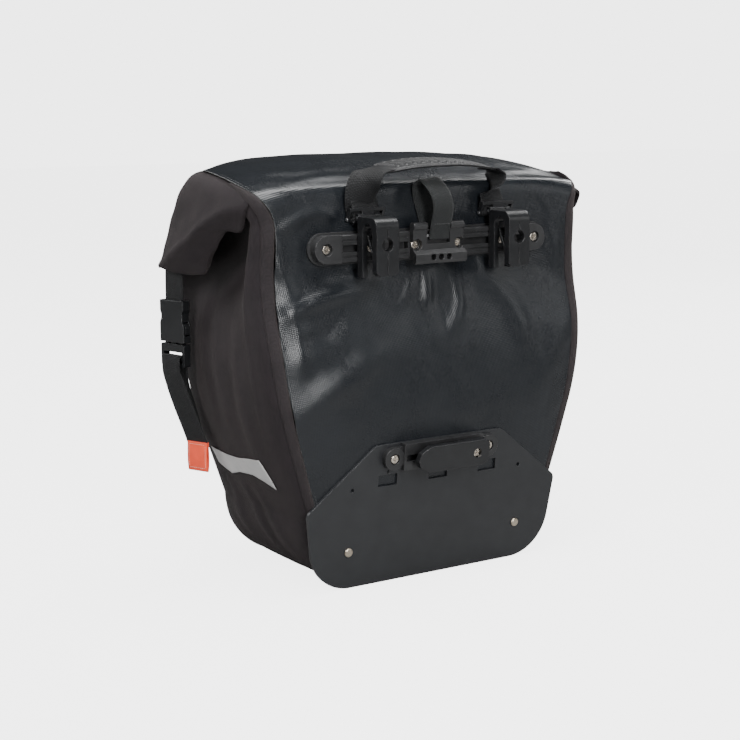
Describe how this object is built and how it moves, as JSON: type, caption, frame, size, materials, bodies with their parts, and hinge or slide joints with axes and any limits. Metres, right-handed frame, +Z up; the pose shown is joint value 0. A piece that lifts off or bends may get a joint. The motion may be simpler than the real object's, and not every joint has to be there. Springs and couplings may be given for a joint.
{
  "type": "roll-top pannier bag",
  "caption": "Roll-top waterproof pannier bag with a rack hook rail, sprung locking hooks joined by a handle, a sliding lower anchor hook and side buckle straps.",
  "frame": {"origin": "middle of the bounding box at the height of the lowest edge", "axes": "+Z up, +X to the right seen from the rack side, -Y towards the rack"},
  "size_m": [0.438, 0.2159, 0.405],
  "materials": {
    "tarpaulin": "satin coated tarpaulin",
    "gusset_fabric": "matte coated woven fabric",
    "stiffener_board": "matte",
    "rail_plastic": "fine grain",
    "cap_plastic": "fine grain",
    "pad_rubber": "matte",
    "hook_plastic": "fine grain, slightly glossy",
    "screw_steel": "bright",
    "plain_steel": "plain",
    "rivet_metal": "bronze tone",
    "webbing": "ribbed webbing",
    "grip_rubber": "matte",
    "plate_plastic": "matte",
    "reflector": "satin silver",
    "buckle_plastic": "semi-gloss",
    "tab_fabric": "smooth woven"
  },
  "bodies": {
    "bag": {"back_board": "stiffener_board", "back_panel": "tarpaulin", "bottom_panel": "gusset_fabric", "bracket_base": "rail_plastic", "bracket_nuts": "plain_steel", "bracket_screws": "screw_steel", "centre_block": "rail_plastic", "centre_loop": "webbing", "closure_roll": "tarpaulin", "closure_stiffener": "stiffener_board", "front_panel": "tarpaulin", "left_anchor_strap": "webbing", "left_buckle_insert": "buckle_plastic", "left_buckle_socket": "buckle_plastic", "left_ear": "gusset_fabric", "left_gusset": "gusset_fabric", "left_upper_strap": "webbing", "loop_pin": "plain_steel", "lower_plate": "plate_plastic", "plate_rivets": "rivet_metal", "rail": "rail_plastic", "rail_end_caps": "cap_plastic", "rail_nuts": "plain_steel", "rail_pad": "pad_rubber", "rail_screws": "screw_steel", "reflective_strips": "reflector", "right_anchor_strap": "webbing", "right_buckle_insert": "buckle_plastic", "right_buckle_socket": "buckle_plastic", "right_ear": "gusset_fabric", "right_gusset": "gusset_fabric", "right_upper_strap": "webbing", "top_panel": "tarpaulin"},
    "left_hook": {"left_hook": "hook_plastic", "left_lever_pin": "plain_steel", "left_hook_screw": "screw_steel", "left_slide_nut": "plain_steel"},
    "right_hook": {"right_hook": "hook_plastic", "right_lever_pin": "plain_steel", "right_hook_screw": "screw_steel", "right_slide_nut": "plain_steel"},
    "left_lever": {"left_lock_lever": "hook_plastic", "left_pull_bar": "plain_steel"},
    "right_lever": {"right_lock_lever": "hook_plastic", "right_pull_bar": "plain_steel"},
    "handle": {"handle_grip": "grip_rubber", "left_handle_webbing": "webbing", "right_handle_webbing": "webbing"},
    "lower_hook": {"lower_hook": "hook_plastic", "lower_hook_screw": "screw_steel", "lower_hook_nut": "plain_steel"},
    "left_tail": {"left_tail_strap": "webbing", "left_end_tab": "tab_fabric"},
    "left_rear_arm": {"left_rear_release_arm": "buckle_plastic"},
    "left_front_arm": {"left_front_release_arm": "buckle_plastic"},
    "right_tail": {"right_tail_strap": "webbing", "right_end_tab": "tab_fabric"},
    "right_rear_arm": {"right_rear_release_arm": "buckle_plastic"},
    "right_front_arm": {"right_front_release_arm": "buckle_plastic"}
  },
  "joints": [
    {"name": "left_hook_slide", "type": "slide", "parent": "bag", "child": "left_hook", "axis": [1, 0, 0], "range_m": [-0.012, 0.012]},
    {"name": "right_hook_slide", "type": "slide", "parent": "bag", "child": "right_hook", "axis": [1, 0, 0], "range_m": [-0.012, 0.012]},
    {"name": "left_lever_hinge", "type": "hinge", "parent": "left_hook", "child": "left_lever", "pos_m": [-0.0755, -0.075, 0.352], "axis": [1, 0, 0], "range_deg": [0, 18], "stiffness_Nm_per_rad": 0.4, "springref_deg": -14.32},
    {"name": "right_lever_hinge", "type": "hinge", "parent": "right_hook", "child": "right_lever", "pos_m": [0.0755, -0.075, 0.352], "axis": [1, 0, 0], "range_deg": [0, 18], "stiffness_Nm_per_rad": 0.4, "springref_deg": -14.32},
    {"name": "handle_lift", "type": "hinge", "parent": "left_lever", "child": "handle", "pos_m": [-0.0755, -0.0685, 0.35], "axis": [1, 0, 0], "range_deg": [-18, 0]},
    {"name": "lower_hook_slide", "type": "slide", "parent": "bag", "child": "lower_hook", "axis": [-1, 0, 0], "range_m": [0, 0.028]},
    {"name": "right_tail_swing", "type": "hinge", "parent": "bag", "child": "right_tail", "pos_m": [0.21099, 0.06539, 0.218], "axis": [-0.2588, -0.9659, 0], "range_deg": [0, 70]},
    {"name": "right_rear_arm_squeeze", "type": "hinge", "parent": "bag", "child": "right_rear_arm", "pos_m": [0.20239, 0.05724, 0.2284], "axis": [-0.9659, 0.2588, 0], "range_deg": [0, 8], "stiffness_Nm_per_rad": 0.05},
    {"name": "right_front_arm_squeeze", "type": "hinge", "parent": "bag", "child": "right_front_arm", "pos_m": [0.20761, 0.07676, 0.2284], "axis": [0.9659, -0.2588, 0], "range_deg": [0, 8], "stiffness_Nm_per_rad": 0.05},
    {"name": "left_tail_swing", "type": "hinge", "parent": "bag", "child": "left_tail", "pos_m": [-0.21099, 0.06539, 0.218], "axis": [-0.2588, 0.9659, 0], "range_deg": [0, 70]},
    {"name": "left_rear_arm_squeeze", "type": "hinge", "parent": "bag", "child": "left_rear_arm", "pos_m": [-0.20239, 0.05724, 0.2284], "axis": [-0.9659, -0.2588, 0], "range_deg": [0, 8], "stiffness_Nm_per_rad": 0.05},
    {"name": "left_front_arm_squeeze", "type": "hinge", "parent": "bag", "child": "left_front_arm", "pos_m": [-0.20761, 0.07676, 0.2284], "axis": [0.9659, 0.2588, 0], "range_deg": [0, 8], "stiffness_Nm_per_rad": 0.05}
  ],
  "couplings": [
    {"joint": "right_hook_slide", "follows": "left_hook_slide", "ratio": 1},
    {"joint": "right_lever_hinge", "follows": "left_lever_hinge", "ratio": 1},
    {"joint": "handle_lift", "follows": "left_lever_hinge", "ratio": -1},
    {"joint": "right_front_arm_squeeze", "follows": "right_rear_arm_squeeze", "ratio": 1},
    {"joint": "left_front_arm_squeeze", "follows": "left_rear_arm_squeeze", "ratio": 1}
  ]
}
